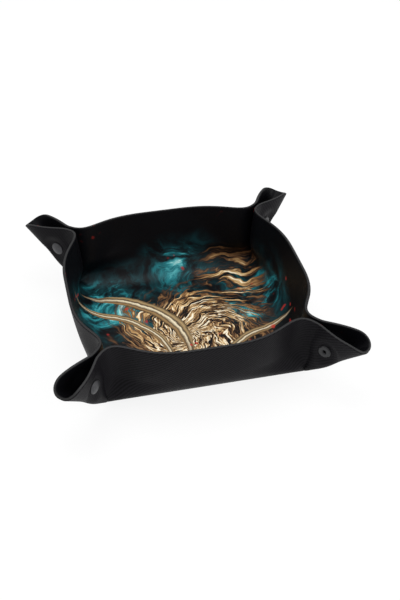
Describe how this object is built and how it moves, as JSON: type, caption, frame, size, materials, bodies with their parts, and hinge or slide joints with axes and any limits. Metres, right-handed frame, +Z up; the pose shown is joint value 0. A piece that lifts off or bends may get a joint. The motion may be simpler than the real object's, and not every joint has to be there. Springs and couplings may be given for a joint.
{
  "type": "dice tray",
  "caption": "Square leather-look tray with a printed lining; snapped pinched corners hold its sides up, and unsnapped it folds out flat for storage",
  "frame": {"origin": "centre of the footprint, on the table", "axes": "+Z up out of the open top; the four walls face +X, +Y, -X and -Y. Snapped up is the rest state"},
  "size_m": [0.2172, 0.2172, 0.055],
  "materials": {
    "outer_leather": "black cross-grain, satin",
    "printed_lining": "dark printed lining with gold and teal shapes, semi-gloss",
    "cap_finish": "dark grey, smooth satin",
    "stud_metal": "black, semi-gloss"
  },
  "bodies": {
    "base": {"base_leather": "outer_leather", "base_lining": "printed_lining"},
    "right_wall": {"right_wall_leather": "outer_leather", "right_wall_lining": "printed_lining"},
    "right_wall_left_ear": {"right_wall_left_ear_leather": "outer_leather", "right_wall_left_ear_lining": "printed_lining", "right_wall_snap_cap": "cap_finish", "right_wall_snap_socket": "stud_metal"},
    "right_wall_right_ear": {"right_wall_right_ear_leather": "outer_leather", "right_wall_right_ear_lining": "printed_lining", "right_wall_snap_post": "stud_metal", "right_wall_snap_stud": "stud_metal"},
    "back_wall": {"back_wall_leather": "outer_leather", "back_wall_lining": "printed_lining"},
    "back_wall_left_ear": {"back_wall_left_ear_leather": "outer_leather", "back_wall_left_ear_lining": "printed_lining", "back_wall_snap_cap": "cap_finish", "back_wall_snap_socket": "stud_metal"},
    "back_wall_right_ear": {"back_wall_right_ear_leather": "outer_leather", "back_wall_right_ear_lining": "printed_lining", "back_wall_snap_post": "stud_metal", "back_wall_snap_stud": "stud_metal"},
    "left_wall": {"left_wall_leather": "outer_leather", "left_wall_lining": "printed_lining"},
    "left_wall_left_ear": {"left_wall_left_ear_leather": "outer_leather", "left_wall_left_ear_lining": "printed_lining", "left_wall_snap_cap": "cap_finish", "left_wall_snap_socket": "stud_metal"},
    "left_wall_right_ear": {"left_wall_right_ear_leather": "outer_leather", "left_wall_right_ear_lining": "printed_lining", "left_wall_snap_post": "stud_metal", "left_wall_snap_stud": "stud_metal"},
    "front_wall": {"front_wall_leather": "outer_leather", "front_wall_lining": "printed_lining"},
    "front_wall_left_ear": {"front_wall_left_ear_leather": "outer_leather", "front_wall_left_ear_lining": "printed_lining", "front_wall_snap_cap": "cap_finish", "front_wall_snap_socket": "stud_metal"},
    "front_wall_right_ear": {"front_wall_right_ear_leather": "outer_leather", "front_wall_right_ear_lining": "printed_lining", "front_wall_snap_post": "stud_metal", "front_wall_snap_stud": "stud_metal"}
  },
  "joints": [
    {"name": "right_wall_fold", "type": "hinge", "parent": "base", "child": "right_wall", "pos_m": [0.072, 0, 0.007], "axis": [0, 1, 0], "range_deg": [0, 81.5]},
    {"name": "right_wall_left_ear_fold", "type": "hinge", "parent": "right_wall", "child": "right_wall_left_ear", "pos_m": [0.072, -0.072, 0.007], "axis": [-0.1473, 0.0854, -0.9854], "range_deg": [0, 42.6]},
    {"name": "right_wall_right_ear_fold", "type": "hinge", "parent": "right_wall", "child": "right_wall_right_ear", "pos_m": [0.072, 0.072, 0.007], "axis": [0.1473, 0.0854, 0.9854], "range_deg": [0, 42.6]},
    {"name": "back_wall_fold", "type": "hinge", "parent": "base", "child": "back_wall", "pos_m": [0, 0.072, 0.007], "axis": [-1, 0, 0], "range_deg": [0, 81.5]},
    {"name": "back_wall_left_ear_fold", "type": "hinge", "parent": "back_wall", "child": "back_wall_left_ear", "pos_m": [0.072, 0.072, 0.007], "axis": [-0.0854, -0.1473, -0.9854], "range_deg": [0, 42.6]},
    {"name": "back_wall_right_ear_fold", "type": "hinge", "parent": "back_wall", "child": "back_wall_right_ear", "pos_m": [-0.072, 0.072, 0.007], "axis": [-0.0854, 0.1473, 0.9854], "range_deg": [0, 42.6]},
    {"name": "left_wall_fold", "type": "hinge", "parent": "base", "child": "left_wall", "pos_m": [-0.072, 0, 0.007], "axis": [0, -1, 0], "range_deg": [0, 81.5]},
    {"name": "left_wall_left_ear_fold", "type": "hinge", "parent": "left_wall", "child": "left_wall_left_ear", "pos_m": [-0.072, 0.072, 0.007], "axis": [0.1473, -0.0854, -0.9854], "range_deg": [0, 42.6]},
    {"name": "left_wall_right_ear_fold", "type": "hinge", "parent": "left_wall", "child": "left_wall_right_ear", "pos_m": [-0.072, -0.072, 0.007], "axis": [-0.1473, -0.0854, 0.9854], "range_deg": [0, 42.6]},
    {"name": "front_wall_fold", "type": "hinge", "parent": "base", "child": "front_wall", "pos_m": [0, -0.072, 0.007], "axis": [1, 0, 0], "range_deg": [0, 81.5]},
    {"name": "front_wall_left_ear_fold", "type": "hinge", "parent": "front_wall", "child": "front_wall_left_ear", "pos_m": [-0.072, -0.072, 0.007], "axis": [0.0854, 0.1473, -0.9854], "range_deg": [0, 42.6]},
    {"name": "front_wall_right_ear_fold", "type": "hinge", "parent": "front_wall", "child": "front_wall_right_ear", "pos_m": [0.072, -0.072, 0.007], "axis": [0.0854, -0.1473, 0.9854], "range_deg": [0, 42.6]}
  ],
  "couplings": [
    {"joint": "right_wall_fold", "follows": "front_wall_fold", "ratio": 1},
    {"joint": "right_wall_left_ear_fold", "follows": "front_wall_fold", "ratio": 0.52259},
    {"joint": "right_wall_right_ear_fold", "follows": "front_wall_fold", "ratio": 0.52259},
    {"joint": "back_wall_fold", "follows": "front_wall_fold", "ratio": 1},
    {"joint": "back_wall_left_ear_fold", "follows": "front_wall_fold", "ratio": 0.52259},
    {"joint": "back_wall_right_ear_fold", "follows": "front_wall_fold", "ratio": 0.52259},
    {"joint": "left_wall_fold", "follows": "front_wall_fold", "ratio": 1},
    {"joint": "left_wall_left_ear_fold", "follows": "front_wall_fold", "ratio": 0.52259},
    {"joint": "left_wall_right_ear_fold", "follows": "front_wall_fold", "ratio": 0.52259},
    {"joint": "front_wall_left_ear_fold", "follows": "front_wall_fold", "ratio": 0.52259},
    {"joint": "front_wall_right_ear_fold", "follows": "front_wall_fold", "ratio": 0.52259}
  ]
}
